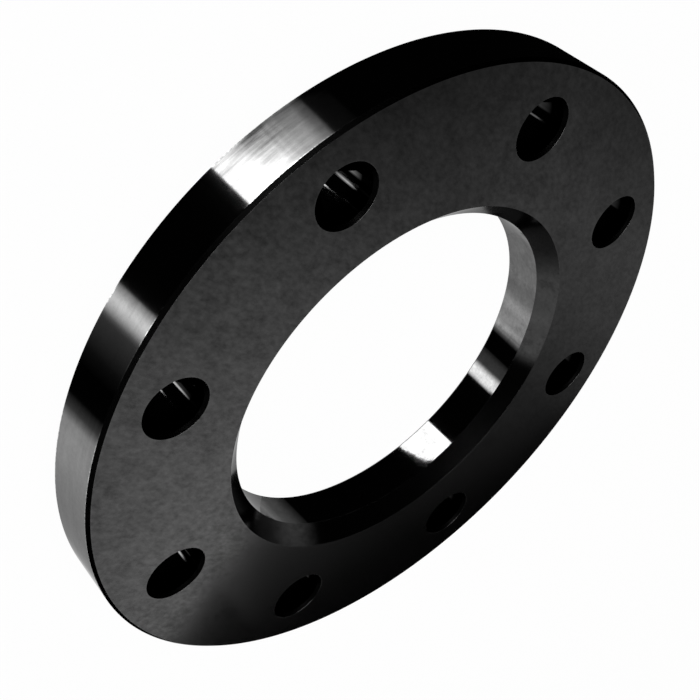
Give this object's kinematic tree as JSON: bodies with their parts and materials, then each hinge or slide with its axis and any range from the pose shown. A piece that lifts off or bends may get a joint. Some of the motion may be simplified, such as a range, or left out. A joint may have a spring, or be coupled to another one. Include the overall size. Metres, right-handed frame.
{
  "type": "lap joint flange",
  "caption": "Flat loose ring flange with a plain bore chamfered on the lap side, a circle of bolt holes and lightly chamfered edges.",
  "frame": {"origin": "centre of the back face, on the ring's axis; the ring lies flat on that face", "axes": "+Z along the ring's axis, out of the chamfered lap face; the bolt holes straddle X and Y"},
  "size_m": [0.22, 0.22, 0.019],
  "materials": {
    "flange_steel": "dark oiled steel with fine grained faces and a turned, brushed rim and bore"
  },
  "bodies": {
    "root": {"flange_ring": "flange_steel"}
  },
  "joints": []
}
